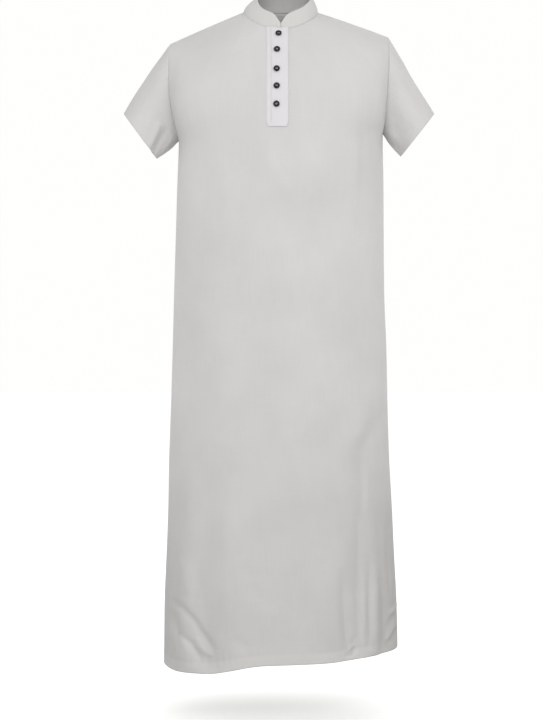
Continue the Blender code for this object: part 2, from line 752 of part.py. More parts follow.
def button_seat(panel, x, z, lift):
    """Where a button's back rests on the over strip: a point and the way it faces."""
    slit = panel.count // 2 - 1
    columns = [slit - 1, slit, slit + 1, slit + 2]

    def on_strip(px, pz):
        j = max(k for k in columns[:-1] if panel.points[BUTTON_ROW][k].x <= px)
        row_a, row_b = panel.row_at(pz, j), panel.row_at(pz, j + 1)
        (a, na), (b, nb) = panel.at(row_a, j), panel.at(row_b, j + 1)
        part = (px - a.x) / (b.x - a.x)
        return a.lerp(b, part) + na.lerp(nb, part).normalized() * lift

    centre = on_strip(x, z)
    reach = BUTTON_RADIUS * BUTTON_FOOTING
    across = on_strip(x + reach, z) - on_strip(x - reach, z)
    down = on_strip(x, z - reach) - on_strip(x, z + reach)
    facing = across.cross(down).normalized()
    facing = facing if facing.y < 0 else -facing
    proud = 0.0
    for k in range(RIM_SAMPLES):
        angle = 2 * math.pi * k / RIM_SAMPLES
        for share in RIM_SHARES:
            rim = on_strip(
                x + BUTTON_RADIUS * share * math.cos(angle),
                z + BUTTON_RADIUS * share * math.sin(angle),
            )
            proud = max(proud, (rim - centre).dot(facing))
    return centre + facing * (proud + SEAM_GAP), facing


def button_mesh():
    """A turned button with a rolled rim and a dished face, and four holes cut through."""
    bm = bmesh.new()
    verts = [
        bm.verts.new((r * BUTTON_RADIUS, 0.0, h * BUTTON_THICKNESS)) for r, h in BUTTON_PROFILE
    ]
    edges = [bm.edges.new(pair) for pair in zip(verts, verts[1:])]
    bmesh.ops.spin(
        bm,
        geom=verts + edges,
        cent=(0, 0, 0),
        axis=(0, 0, 1),
        angle=2 * math.pi,
        steps=BUTTON_SIDES,
    )
    bmesh.ops.remove_doubles(bm, verts=bm.verts, dist=NO_LENGTH)
    bmesh.ops.recalc_face_normals(bm, faces=bm.faces)
    mesh = bpy.data.meshes.new("button")
    bm.to_mesh(mesh)
    bm.free()
    return mesh


def hole_cutter(collection):
    """Four upright pins, the shape of a button's sewing holes."""
    bm = bmesh.new()
    for k in range(4):
        angle = math.pi / 4 + k * math.pi / 2
        made = bmesh.ops.create_cone(
            bm,
            cap_ends=True,
            segments=HOLE_SIDES,
            radius1=BUTTON_HOLE_RADIUS,
            radius2=BUTTON_HOLE_RADIUS,
            depth=BUTTON_THICKNESS * 3,
        )
        shift = Vector((math.cos(angle), math.sin(angle), 0.0)) * BUTTON_HOLE_SPREAD
        bmesh.ops.translate(bm, verts=made["verts"], vec=shift)
    mesh = bpy.data.meshes.new("button_holes")
    bm.to_mesh(mesh)
    bm.free()
    cutter = bpy.data.objects.new("button_holes", mesh)
    cutter.hide_render = True
    cutter.display_type = "WIRE"
    collection.objects.link(cutter)
    return cutter


def add_buttons(panel, lift, material, collection, cutters):
    """Five buttons flat on the over strip, each with its own copy of the hole cutter at its place."""
    for number, (x, z) in enumerate(zip(BUTTON_X, BUTTON_HEIGHTS), start=1):
        seat, facing = button_seat(panel, x, z, lift)
        turn = Vector((0, 0, 1)).rotation_difference(facing)
        button = add_object(f"button_{number}", button_mesh(), material, collection)
        cutter = hole_cutter(cutters)
        for obj in (button, cutter):
            obj.rotation_mode = "QUATERNION"
            obj.rotation_quaternion = turn
            obj.location = seat
        cut = button.modifiers.new("sewing holes", "BOOLEAN")
        cut.operation = "DIFFERENCE"
        cut.object = cutter


clear_scene()
garment = new_collection("thobe")
cutters = new_collection("cutters")
body_cloth = new_material("body cloth", CLOTH_COLOUR, 0.85)
strip_cloth = new_material("placket cloth", PLACKET_COLOUR, 0.80)
resin = new_material("button resin", BUTTON_COLOUR, 0.25)
front_panel = Panel(front=True)
back_panel = Panel(front=False)
add_panel("front", front_panel, body_cloth, garment)
add_panel("back", back_panel, body_cloth, garment)
for sleeve_name, sleeve_row in zip(("sleeve_left", "sleeve_right"), SLEEVES):
    add_sleeve(sleeve_name, sleeve_row, front_panel, back_panel, body_cloth, garment)
add_collar(front_panel, back_panel, body_cloth, garment)
strip_top = add_plackets(front_panel, strip_cloth, garment)
add_buttons(front_panel, strip_top, resin, garment, cutters)
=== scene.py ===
"""Looks of a short-sleeved thobe in off-white cotton: body cloth, sleeves, collar, placket and buttons.

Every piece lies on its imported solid. Sizes are in metres, the front faces -Y, +Z is up and the origin is
the middle of the shoulder line at the base of the neck."""

import math

import bmesh
import bpy
import numpy as np
from mathutils import Matrix, Vector, kdtree, noise
from mathutils.bvhtree import BVHTree


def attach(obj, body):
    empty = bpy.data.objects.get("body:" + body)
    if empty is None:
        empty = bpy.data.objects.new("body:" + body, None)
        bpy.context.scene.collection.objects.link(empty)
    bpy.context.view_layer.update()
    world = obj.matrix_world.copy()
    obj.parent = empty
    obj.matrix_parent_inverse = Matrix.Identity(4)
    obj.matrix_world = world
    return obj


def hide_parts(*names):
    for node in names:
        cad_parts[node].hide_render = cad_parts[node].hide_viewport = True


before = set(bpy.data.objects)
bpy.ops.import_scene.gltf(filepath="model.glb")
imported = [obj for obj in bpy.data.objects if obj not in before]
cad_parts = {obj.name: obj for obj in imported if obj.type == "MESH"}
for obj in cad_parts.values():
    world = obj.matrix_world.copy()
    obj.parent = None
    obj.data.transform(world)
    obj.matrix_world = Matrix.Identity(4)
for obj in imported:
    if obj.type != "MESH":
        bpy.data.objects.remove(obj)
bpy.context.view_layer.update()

# Camera
# The photograph's view: straight from the front at waist height and 4.2 m away, tilted down a little. The
# collar's top edge meets the top of the picture.
camera_at = Vector((-0.0203, -4.2, -0.600))
camera_aim = Vector((-0.0203, 0.0, -0.739))
view_height = 1.541


def in_scene(name, data):
    """A new object of some data, in the scene."""
    thing = bpy.data.objects.new(name, data)
    bpy.context.scene.collection.objects.link(thing)
    return thing


camera = in_scene("camera", bpy.data.cameras.new("camera"))
camera.data.sensor_width = 36.0
camera.data.lens = camera.data.sensor_width * (camera_aim - camera_at).length / view_height
camera.data.clip_end = 60.0
camera.location = camera_at
camera.rotation_euler = (camera_aim - camera_at).to_track_quat("-Z", "Y").to_euler()
bpy.context.scene.camera = camera

# Studio
# A white tent and a pale floor, which only the camera sees. Two large soft lamps stand in front, one
# behind and a weak one at each side, and the air glows evenly. A pale card on the floor throws light up,
# and pale grey flags beside the skirt hold some light off its lower sides.
floor_height = -1.49
tent_radius = 14.0
air_glow = 0.705


def linear(code):
    """A shader colour from an sRGB hex code."""
    channels = [int(code[i : i + 2], 16) / 255 for i in (1, 3, 5)]
    return [c / 12.92 if c <= 0.04045 else ((c + 0.055) / 1.055) ** 2.4 for c in channels] + [1.0]


def add_node(tree, kind, settings=None, links=None):
    """A node with its settings, each a property or a socket, and its links, a source for each socket."""
    node = tree.nodes.new(kind)
    for key, value in (settings or {}).items():
        if isinstance(key, str) and hasattr(node, key):
            setattr(node, key, value)
        else:
            node.inputs[key].default_value = value
    for key, source in (links or {}).items():
        tree.links.new(source, node.inputs[key])
    return node


def new_material(name, sockets):
    """A material with its node tree and shader, and the shader's sockets that are the same all over."""
    material = bpy.data.materials.new(name)
    material.use_nodes = True
    shader = material.node_tree.nodes["Principled BSDF"]
    for key, value in sockets.items():
        shader.inputs[key].default_value = value
    return material, material.node_tree, shader


world = bpy.data.worlds.new("studio air")
world.use_nodes = True
air = world.node_tree.nodes["Background"].inputs
air["Color"].default_value = linear("#FDFDFE")
air["Strength"].default_value = air_glow
bpy.context.scene.world = world
bpy.context.scene.view_settings.view_transform = "Standard"

tent_shape = bmesh.new()
bmesh.ops.create_icosphere(tent_shape, subdivisions=4, radius=tent_radius)
floor_shape = bmesh.new()
bmesh.ops.create_circle(floor_shape, cap_ends=True, segments=96, radius=tent_radius * 0.98)
# Each card starts 1 m square. A flag is 1.2 m deep and 0.5 m high; the card on the floor is 3 m square.
card_shapes = []
for side in (-1, 0, 1):
    card = bmesh.new()
    bmesh.ops.create_grid(card, x_segments=1, y_segments=1, size=0.5)
    if side:
        on_edge = Matrix.Rotation(math.radians(90), 4, "Y")
        shaped = Matrix.Diagonal((1, 1.2, 0.5, 1)) @ on_edge
        card_place = (0.50 * side, -0.2, floor_height + 0.25)
    else:
        shaped = Matrix.Diagonal((3.0, 3.0, 1, 1))
        card_place = (0.0, -0.6, floor_height - 0.004)
    bmesh.ops.transform(card, matrix=shaped, verts=card.verts)
    bmesh.ops.translate(card, vec=card_place, verts=card.verts)
    card_shapes.append(card)
STUDIO_COLUMNS = ("name", "shape", "height", "colour", "glow")
STUDIO = (
    ("studio_tent", tent_shape, 0.0, "#000000", 1.0),
    ("studio_floor", floor_shape, floor_height, "#E6E6E4", 0.52),
    ("left_flag", card_shapes[0], 0.0, "#D6D6D6", 0.0),
    ("floor_card", card_shapes[1], 0.0, "#D6D6D6", 0.0),
    ("right_flag", card_shapes[2], 0.0, "#C2C2C2", 0.0),
)
for row in STUDIO:
    part = dict(zip(STUDIO_COLUMNS, row))
    mesh = bpy.data.meshes.new(part["name"])
    part["shape"].to_mesh(mesh)
    part["shape"].free()
    surface, _, _ = new_material(
        part["name"].replace("_", " "),
        {
            "Base Color": linear(part["colour"]),
            "Roughness": 0.9,
            "Emission Color": linear("#FDFDFB"),
            "Emission Strength": part["glow"],
        },
    )
    mesh.materials.append(surface)
    stage_piece = in_scene(part["name"], mesh)
    stage_piece.location = (0.0, 0.0, part["height"])
    # The tent and the floor are seen and light nothing; the cards light the cloth and aren't seen.
    is_card = part["glow"] == 0.0
    stage_piece.visible_camera = not is_card
    stage_piece.visible_diffuse = is_card
    stage_piece.visible_glossy = is_card
    stage_piece.visible_transmission = is_card
    stage_piece.visible_shadow = False

LAMP_COLUMNS = ("name", "place", "aim", "width", "height", "watts", "colour")
LAMPS = (
    ("key_lamp", (1.3, -2.8, 0.8), (0.0, 0.0, -0.50), 2.2, 1.6, 25.0, "#FFFEFC"),
    ("fill_lamp", (-1.2, -3.4, 0.3), (0.0, 0.0, -0.60), 2.0, 1.8, 22.0, "#FAFCFF"),
    ("back_lamp", (0.6, 2.7, 1.1), (0.0, 0.0, -0.40), 2.6, 2.0, 24.0, "#FFFFFF"),
    ("left_side_lamp", (-0.95, 0.35, -0.74), (-0.20, 0.0, -0.74), 0.3, 1.0, 1.25, "#FFFFFF"),
    ("right_side_lamp", (0.95, 0.35, -0.76), (0.20, 0.0, -0.76), 0.3, 1.0, 1.05, "#FFFFFF"),
)
for row in LAMPS:
    setting = dict(zip(LAMP_COLUMNS, row))
    lamp = in_scene(setting["name"], bpy.data.lights.new(setting["name"], "AREA"))
    lamp.data.shape = "RECTANGLE"
    lamp.data.size, lamp.data.size_y = setting["width"], setting["height"]
    lamp.data.energy = setting["watts"]
    lamp.data.color = linear(setting["colour"])[:3]
    lamp.location = setting["place"]
    lamp.visible_camera = False
    facing = Vector(setting["aim"]) - Vector(setting["place"])
    lamp.rotation_euler = facing.to_track_quat("-Z", "Y").to_euler()

# Front panel
# One length of plain-woven cotton blend from the shoulders to the hem, slit at the neck for the placket.
# It hangs smooth, with long soft folds down the skirt and small creases near the hem, which is turned up
# inside by 25 mm and stitched.
cloth_thickness = 0.0006
hem_depth = 0.025
neck_reach = 0.10
chest_middle = Vector((0.0, 0.0, -0.3))
# A sharper bend than this ends a wall's outer face, and a sharper turn than this ends an edge run.
skin_bend = math.radians(42)
corner_turn = math.radians(32)
sewn_edges = []


def edge_runs(skin):
    """The skin's open edges as runs of vertices in order, broken at the corners."""
    skin.verts.index_update()
    beside = {}
    for edge in skin.edges:
        if edge.is_boundary:
            a, b = edge.verts
            beside.setdefault(a, []).append(b)
            beside.setdefault(b, []).append(a)
    in_order = sorted(beside, key=lambda vert: vert.index)
    corners = []
    for vert in in_order:
        a, b = beside[vert][:2]
        if (vert.co - a.co).angle(b.co - vert.co, 0.0) > corner_turn:
            corners.append(vert)
    runs, walked = [], set()
    for start in corners + in_order:
        for second in beside[start]:
            if (start.index, second.index) in walked:
                continue
            run = [start, second]
            while run[-1] is not start and run[-1] not in corners:
                a, b = beside[run[-1]][:2]
                run.append(b if a is run[-2] else a)
            for a, b in zip(run, run[1:]):
                walked.update(((a.index, b.index), (b.index, a.index)))
            runs.append(run)
    return runs


def welded(node):
    """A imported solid's mesh with its split vertices joined."""
    joining_distance = 0.00002
    solid = bmesh.new()
    solid.from_mesh(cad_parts[node].data)
    bmesh.ops.remove_doubles(solid, verts=solid.verts, dist=joining_distance)
    return solid


def smoothed(name, rough, levels):
    """The shape subdivided smoothly, with its corners kept."""
    mesh = bpy.data.meshes.new(name)
    rough.to_mesh(mesh)
    rough.free()
    holder = in_scene(name, mesh)
    subdivision = holder.modifiers.new("smooth", "SUBSURF")
    subdivision.levels = subdivision.render_levels = levels
    subdivision.boundary_smooth = "PRESERVE_CORNERS"
    fine = bmesh.new()
    fine.from_object(holder, bpy.context.evaluated_depsgraph_get())
    bpy.data.objects.remove(holder)
    bpy.data.meshes.remove(mesh)
    return fine


def beside_neck(face):
    """Whether a face by the neck leans away from it, as the cloth does where it rises to the collar."""
    place, way = face.calc_center_median(), face.normal
    reach = math.hypot(place.x, place.y)
    is_close = reach < neck_reach and place.z > -neck_reach
    return is_close and (place.x * way.x + place.y * way.y) / reach > 0.5


def outer_skin(node, seed, levels=2):
    """A packed wall's outer face as smooth quads, grown from the nearest face that looks at the seed."""
    rough = welded(node)
    seed = Vector(seed)
    looking_out = [face for face in rough.faces if face.normal.dot(seed - face.calc_center_median()) > 0]
    start = min(looking_out, key=lambda face: (face.calc_center_median() - seed).length)
    kept, growing = {start}, [start]
    while growing:
        for edge in growing.pop().edges:
            if not edge.is_manifold:
                continue
            level = edge.calc_face_angle() < skin_bend
            for face in edge.link_faces:
                if face not in kept and (level or beside_neck(face)):
                    kept.add(face)
                    growing.append(face)
    bmesh.ops.delete(rough, geom=[face for face in rough.faces if face not in kept], context="FACES")
    most = math.radians(70)
    bmesh.ops.join_triangles(
        rough, faces=rough.faces, angle_face_threshold=most, angle_shape_threshold=most
    )
    pin = rough.verts.layers.float.new("crease_vert")
    for run in edge_runs(rough):
        if run[0] is not run[-1]:
            run[0][pin] = run[-1][pin] = 1.0
    return smoothed(node + " skin", rough, levels)


def run_near(runs, place):
    """The edge run with a vertex nearest to a place, as points."""
    place = Vector(place)
    nearest = min(runs, key=lambda run: min((vert.co - place).length for vert in run[1:-1] or run))
    return [vert.co.copy() for vert in nearest]


def sew_to(skin, edges, reach=0.003):
    """Moves the skin's open edges onto those of the pieces it is sewn to, and adds its own to them."""
    runs = edge_runs(skin)
    if edges:
        ends = np.array(edges)
        start, along = ends[:, 0], ends[:, 1] - ends[:, 0]
        for vert in sorted({vert for run in runs for vert in run}, key=lambda vert: vert.index):
            place = np.array(vert.co)
            share = np.clip(((place - start) * along).sum(1) / (along**2).sum(1), 0, 1)
            nearest = start + along * share[:, None]
            gaps = np.linalg.norm(nearest - place, axis=1)
            if gaps.min() < reach:
                vert.co = nearest[gaps.argmin()]
    for run in runs:
        edges.extend((tuple(a.co), tuple(b.co)) for a, b in zip(run, run[1:]))
    skin.normal_update()


def refine(skin, needs_it):
    """Cuts each face that needs it into four."""
    skin.edges.index_update()
    edges = {edge for face in skin.faces if needs_it(face.calc_center_median()) for edge in face.edges}
    edges = sorted(edges, key=lambda edge: edge.index)
    bmesh.ops.subdivide_edges(skin, edges=edges, cuts=1, use_grid_fill=True)
    skin.normal_update()


CREASE_COLUMNS = ("line", "width", "rise")


def crease_rise(flat, creases):
    """How far the creases, each a line, a half-width and a rise, lift each point of the flat cloth."""
    rise = np.zeros(len(flat))
    for row in creases:
        crease = dict(zip(CREASE_COLUMNS, row))
        line = np.array(crease["line"])
        legs = np.linalg.norm(np.diff(line, axis=0), axis=1)
        gap, along, walked = np.full(len(flat), 1.0), np.zeros(len(flat)), 0.0
        for a, b, leg in zip(line, line[1:], legs):
            share = np.clip((flat - a) @ (b - a) / leg**2, 0, 1)
            distance = np.linalg.norm(flat - a - share[:, None] * (b - a), axis=1)
            nearer = distance < gap
            gap = np.where(nearer, distance, gap)
            along = np.where(nearer, (walked + share * leg) / legs.sum(), along)
            walked += leg
        ends = np.sin(np.pi * np.clip(along, 0, 1)) ** 0.6
        rise += crease["rise"] * ends * np.exp(-((gap / crease["width"]) ** 2))
    return rise


def slow_waves(places, spans, rise):
    """The slow unevenness of hanging cloth, with its own span in each direction."""
    return np.array([rise * noise.noise(Vector(place / spans)) for place in places])


def distance_to(runs, places):
    """The distance from each place to the nearest of some edge runs."""
    steps = 6
    tree = kdtree.KDTree(sum((len(run) - 1) * steps for run in runs))
    for run in runs:
        for a, b in zip(run, run[1:]):
            for step in range(steps):
                tree.insert(a.lerp(b, step / steps), 0)
    tree.balance()
    return np.array([tree.find(place)[2] for place in places])


def ease(values, start, end):
    """0 before start, 1 after end, with a smooth turn between."""
    share = np.clip((values - start) / (end - start), 0, 1)
    return share * share * (3 - 2 * share)


def lift_skin(skin, rise):
    """Moves each vertex along its normal."""
    skin.normal_update()
    moves = [vert.normal * float(r) for vert, r in zip(skin.verts, rise)]
    for vert, move in zip(skin.verts, moves):
        vert.co += move
    skin.normal_update()


def panel_cut(places, turn):
    """Where each point of a front or back panel lies on the flat cloth; turn is -1 for the front."""
    x, y, z = places.T
    side_width, side_depth, shoulder_slope = 0.06, 0.15, 0.8
    round_the_side = np.tanh(x / side_width) * (side_depth - turn * y)
    over_the_shoulder = shoulder_slope * turn * y * ease(z, -0.32, -0.05)
    return np.stack([x + round_the_side, z - over_the_shoulder, turn * np.ones(len(x))], axis=1)


def write_cut(mesh, cut, from_hem, from_seam):
    """Writes what the cloth's material reads: each point's place on the flat cloth and two distances."""
    mesh.attributes.new("cut", "FLOAT_VECTOR", "POINT").data.foreach_set("vector", cut.ravel())
    for name, distances in (("from_hem", from_hem), ("from_seam", from_seam)):
        mesh.attributes.new(name, "FLOAT", "POINT").data.foreach_set("value", distances)


def riding(name, mesh, material):
    """A smooth mesh as a piece that rides on the body."""
    mesh.materials.append(material)
    mesh.shade_smooth()
    piece = in_scene(name, mesh)
    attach(piece, "root")
    return piece


def cloth_piece(name, skin, node, cut, from_hem, from_seam):
    """A thin shell of the body cotton on its skin."""
    mesh = bpy.data.meshes.new(name)
    skin.to_mesh(mesh)
    write_cut(mesh, cut, from_hem, from_seam)
    piece = riding(name, mesh, body_cotton)
    wall = piece.modifiers.new("cloth thickness", "SOLIDIFY")
    wall.thickness, wall.offset = cloth_thickness, -1.0
    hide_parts(node)
    return piece


def woven_cotton(name, colour, shade, doubled_and_seam_highlight):
    """Plain-woven cotton blend, washed and pressed: matt, faintly streaked by uneven threads, with a
    painted highlight along its seams.
    """
    material, tree, shader = new_material(
        name, {"Roughness": 0.86, "IOR": 1.47, "Sheen Weight": 0.12, "Sheen Roughness": 0.5}
    )
    cut = add_node(tree, "ShaderNodeAttribute", {"attribute_name": "cut"})
    from_hem = add_node(tree, "ShaderNodeAttribute", {"attribute_name": "from_hem"})
    from_seam = add_node(tree, "ShaderNodeAttribute", {"attribute_name": "from_seam"})
    across = add_node(tree, "ShaderNodeSeparateXYZ", links={0: cut.outputs["Vector"]})

    # The threads are 0.4 mm apart in the real cloth and drawn 1.1 mm apart, to show in close views.
    thread_pitch = 0.0011
    in_turns = {"operation": "MULTIPLY", 1: math.pi / thread_pitch}
    threads = []
    for way in ("X", "Y"):
        turns = add_node(tree, "ShaderNodeMath", in_turns, {0: across.outputs[way]})
        threads.append(add_node(tree, "ShaderNodeMath", {"operation": "SINE"}, {0: turns.outputs[0]}))
    warp, weft = threads
    weave = add_node(
        tree, "ShaderNodeMath", {"operation": "MULTIPLY"}, {0: warp.outputs[0], 1: weft.outputs[0]}
    )

    # Thicker lengths of thread: 2 mm wide and 70 mm long down the cloth, half as strong across it
    slubs = []
    for width, length, seed in ((0.0022, 0.070, 0.0), (0.055, 0.0022, 4.0)):
        stretched = add_node(
            tree,
            "ShaderNodeVectorMath",
            {"operation": "MULTIPLY", 1: (1 / width, 1 / length, 3.0)},
            {0: cut.outputs["Vector"]},
        )
        slubs.append(
            add_node(
                tree,
                "ShaderNodeTexNoise",
                {"noise_dimensions": "4D", "W": seed, "Scale": 1.0, "Detail": 2.0, "Roughness": 0.6},
                {"Vector": stretched.outputs[0]},
            )
        )
    streaks = add_node(
        tree,
        "ShaderNodeMath",
        {"operation": "MULTIPLY_ADD", 1: 0.5},
        {0: slubs[1].outputs["Fac"], 2: slubs[0].outputs["Fac"]},
    )
    clouds = add_node(
        tree,
        "ShaderNodeTexNoise",
        {"Scale": 7.0, "Detail": 3.0, "Roughness": 0.55},
        {"Vector": cut.outputs["Vector"]},
    )
    uneven = add_node(
        tree,
        "ShaderNodeMath",
        {"operation": "MULTIPLY_ADD", 1: 0.45},
        {0: streaks.outputs[0], 2: clouds.outputs["Fac"]},
    )
    tone = add_node(
        tree, "ShaderNodeMapRange", {"From Min": 0.55, "From Max": 1.10}, {"Value": uneven.outputs[0]}
    )
    body_colour = add_node(
        tree,
        "ShaderNodeMix",
        {"data_type": "RGBA", 6: linear(shade), 7: linear(colour)},
        {0: tone.outputs[0]},
    )
    fold_blur = 0.0060
    in_hem = add_node(
        tree,
        "ShaderNodeMapRange",
        {"From Min": hem_depth - fold_blur, "From Max": hem_depth, "To Min": 1.0, "To Max": 0.0},
        {"Value": from_hem.outputs["Fac"]},
    )
    hem_colour = add_node(
        tree,
        "ShaderNodeMix",
        {"data_type": "RGBA", 7: linear(doubled_and_seam_highlight)},
        {0: in_hem.outputs[0], 6: body_colour.outputs[2]},
    )
    # Painted highlight: within about 2 mm of a seam the cloth is mixed towards the lighter doubled colour,
    # a pale line where the seam's ridge would catch the light.
    seam_highlight = add_node(
        tree,
        "ShaderNodeMapRange",
        {"From Min": 0.0004, "From Max": 0.0022, "To Min": 0.8, "To Max": 0.0},
        {"Value": from_seam.outputs["Fac"]},
    )
    seam_highlight_colour = add_node(
        tree,
        "ShaderNodeMix",
        {"data_type": "RGBA", 7: linear(doubled_and_seam_highlight)},
        {0: seam_highlight.outputs[0], 6: hem_colour.outputs[2]},
    )
    tree.links.new(seam_highlight_colour.outputs[2], shader.inputs["Base Color"])

    # Heights in metres: the weave, the slubs, the step over the turned-up hem, a pressed seam's ridge and
    # the step where its allowance ends
    heights = [
        add_node(tree, "ShaderNodeMath", {"operation": "MULTIPLY", 1: 0.00005}, {0: weave.outputs[0]}),
        add_node(tree, "ShaderNodeMath", {"operation": "MULTIPLY", 1: 0.00010}, {0: streaks.outputs[0]}),
        add_node(tree, "ShaderNodeMath", {"operation": "MULTIPLY", 1: 0.00030}, {0: in_hem.outputs[0]}),
    ]
    for start, end, height in ((0.0, 0.0020, 0.00020), (0.0078, 0.0098, 0.00010)):
        ramp = {"interpolation_type": "SMOOTHSTEP", "From Min": start, "From Max": end}
        ramp.update({"To Min": height, "To Max": 0.0})
        heights.append(add_node(tree, "ShaderNodeMapRange", ramp, {"Value": from_seam.outputs["Fac"]}))
    total = heights[0]
    for height in heights[1:]:
        total = add_node(
            tree, "ShaderNodeMath", {"operation": "ADD"}, {0: total.outputs[0], 1: height.outputs[0]}
        )
    relief = add_node(
        tree, "ShaderNodeBump", {"Strength": 1.0, "Distance": 1.0}, {"Height": total.outputs[0]}
    )
    tree.links.new(relief.outputs["Normal"], shader.inputs["Normal"])
    return material


def line_inside(skin_tree, run, distance, toward):
    """A line on a skin at a distance from an edge run, as places and the way the skin faces there."""
    line = []
    for k, place in enumerate(run):
        if distance:
            along = run[min(k + 1, len(run) - 1)] - run[max(k - 1, 0)]
            facing = skin_tree.find_nearest(place)[1]
            inward = facing.cross(along).normalized()
            if inward.dot(toward - place) < 0:
                inward.negate()
            hit = skin_tree.find_nearest(place + inward * distance)
        else:
            hit = skin_tree.find_nearest(place)
        line.append((hit[0], hit[1]))
    return line


def turned_hem(name, skin_tree, run, depth, toward):
    """The layer folded in behind an edge run and stitched down, as a thin strip."""
    behind, behind_fold = cloth_thickness * 1.7, 0.4
    turned_thickness = 0.0004
    shares = (0.0, 0.06, 0.35, 0.7, 1.0)
    lines = [line_inside(skin_tree, run, depth * share, toward) for share in shares]
    verts = []
    for share, line in zip(shares, lines):
        sunk = behind if share else behind_fold * behind
        verts += [tuple(place - facing * sunk) for place, facing in line]
    count = len(run)
    faces = [
        (i * count + k, i * count + k + 1, (i + 1) * count + k + 1, (i + 1) * count + k)
        for i in range(len(shares) - 1)
        for k in range(count - 1)
    ]
    mesh = bpy.data.meshes.new(name)
    mesh.from_pydata(verts, [], faces)
    places = np.array(verts)
    cut = np.stack([places[:, 0] + places[:, 1], places[:, 2], places[:, 1]], axis=1)
    far = np.full(len(places), 1.0)
    write_cut(mesh, cut, far, far)
    piece = riding(name, mesh, body_cotton)
    wall = piece.modifiers.new("cloth thickness", "SOLIDIFY")
    wall.thickness, wall.offset = turned_thickness, 0.0
    return piece


# The last colour is the doubled cloth of the turned-up hem, and it is also painted along the seams as a
# highlight.
body_cotton = woven_cotton("washed cotton poplin", "#D8D6D4", "#CFCDCB", "#DAD8D5")

# Each crease is its line in x and z, its half-width and its rise.
FRONT_CREASES = (
    (((-0.041, -0.295), (0.004, -0.366), (0.042, -0.433)), 0.014, 0.0016),
    (((-0.020, -0.300), (0.028, -0.372), (0.062, -0.440)), 0.012, -0.0012),
    (((0.153, -0.180), (0.156, -0.300), (0.152, -0.420)), 0.011, 0.0016),
    (((0.168, -0.210), (0.170, -0.330), (0.164, -0.430)), 0.009, -0.0014),
    (((-0.090, -0.370), (-0.088, -0.480)), 0.009, -0.0010),
    (((-0.112, -0.330), (-0.116, -0.470)), 0.010, 0.0009),
    (((-0.160, -0.180), (-0.150, -0.300)), 0.014, 0.0012),
    (((0.222, -0.835), (0.195, -0.885), (0.158, -0.935)), 0.013, -0.0016),
    (((0.205, -0.820), (0.175, -0.870), (0.145, -0.915)), 0.013, 0.0009),
    (((0.182, -0.950), (0.183, -1.055)), 0.007, 0.0014),
    (((0.166, -0.960), (0.168, -1.080)), 0.006, -0.0010),
    (((0.160, -1.050), (0.162, -1.140), (0.160, -1.230)), 0.007, -0.0012),
    (((0.128, -1.170), (0.131, -1.260), (0.139, -1.345)), 0.008, -0.0022),
    (((0.148, -1.200), (0.153, -1.320)), 0.006, 0.0007),
    (((0.160, -1.190), (0.162, -1.335)), 0.006, -0.0012),
    (((0.173, -1.180), (0.173, -1.330)), 0.006, 0.0018),
    (((0.185, -1.150), (0.186, -1.335)), 0.006, -0.0022),
    (((0.198, -1.160), (0.202, -1.340)), 0.007, 0.0024),
    (((0.210, -1.170), (0.220, -1.345)), 0.007, -0.0022),
    (((0.213, -1.060), (0.220, -1.220)), 0.007, 0.0014),
    (((0.224, -1.080), (0.232, -1.240)), 0.006, -0.0014),
    (((0.249, -1.286), (0.232, -1.310), (0.214, -1.334)), 0.005, 0.0028),
    (((0.249, -1.258), (0.228, -1.274)), 0.005, 0.0024),
    (((0.245, -1.308), (0.230, -1.336)), 0.006, -0.0030),
    (((0.240, -1.274), (0.222, -1.302)), 0.006, -0.0016),
    (((0.132, -1.348), (0.146, -1.345), (0.160, -1.333)), 0.004, -0.0026),
    (((0.140, -1.337), (0.156, -1.323)), 0.004, 0.0016),
    (((0.188, -1.338), (0.205, -1.352)), 0.005, 0.0016),
    (((0.151, -1.308), (0.151, -1.345)), 0.004, -0.0016),
    (((0.162, -1.312), (0.161, -1.350)), 0.004, 0.0012),
    (
        ((-0.232, -1.242), (-0.208, -1.254), (-0.183, -1.278), (-0.163, -1.308), (-0.134, -1.342)),
        0.010,
        -0.0042,
    ),
    (((-0.222, -1.276), (-0.202, -1.296), (-0.182, -1.318)), 0.009, 0.0010),
    (((-0.216, -1.308), (-0.188, -1.326), (-0.162, -1.366)), 0.006, -0.0032),
    (((-0.180, -1.312), (-0.160, -1.334), (-0.142, -1.350)), 0.006, 0.0026),
    (((-0.178, -1.326), (-0.150, -1.352)), 0.006, 0.0020),
    (((-0.206, -1.310), (-0.192, -1.350)), 0.007, 0.0016),
    (((-0.220, -1.262), (-0.214, -1.355)), 0.005, -0.0018),
    (((-0.236, -1.200), (-0.234, -1.330)), 0.006, 0.0014),
    (((-0.226, -1.120), (-0.214, -1.200)), 0.007, -0.0012),
    (((-0.205, -1.150), (-0.196, -1.225)), 0.014, 0.0016),
    (((-0.180, -1.120), (-0.168, -1.240)), 0.012, -0.0014),
    (((-0.076, -1.155), (-0.072, -1.190)), 0.014, -0.0012),
    (((-0.055, -1.195), (-0.050, -1.232)), 0.013, -0.0012),
    (((-0.096, -1.304), (-0.082, -1.322), (-0.066, -1.334)), 0.012, -0.0020),
    (((-0.030, -1.240), (-0.022, -1.320)), 0.016, 0.0010),
    (((0.060, -1.180), (0.052, -1.300)), 0.016, -0.0010),
)

# A place near the middle of each sewn edge of the back panel; the front's have the other sign in y.
SIDE_PLACES = ((-0.23, 0.0, -0.8), (0.23, 0.0, -0.8))
ARMHOLE_PLACES = ((-0.235, 0.06, -0.17), (0.228, 0.06, -0.16))
SHOULDER_PLACES = ((-0.16, 0.0, -0.035), (0.16, 0.0, -0.03))


def seams_at(runs, seam_places, turn):
    """A panel's edge runs at some of those places; turn is -1 for the front."""
    return [run_near(runs, (x, turn * y, z)) for x, y, z in seam_places]


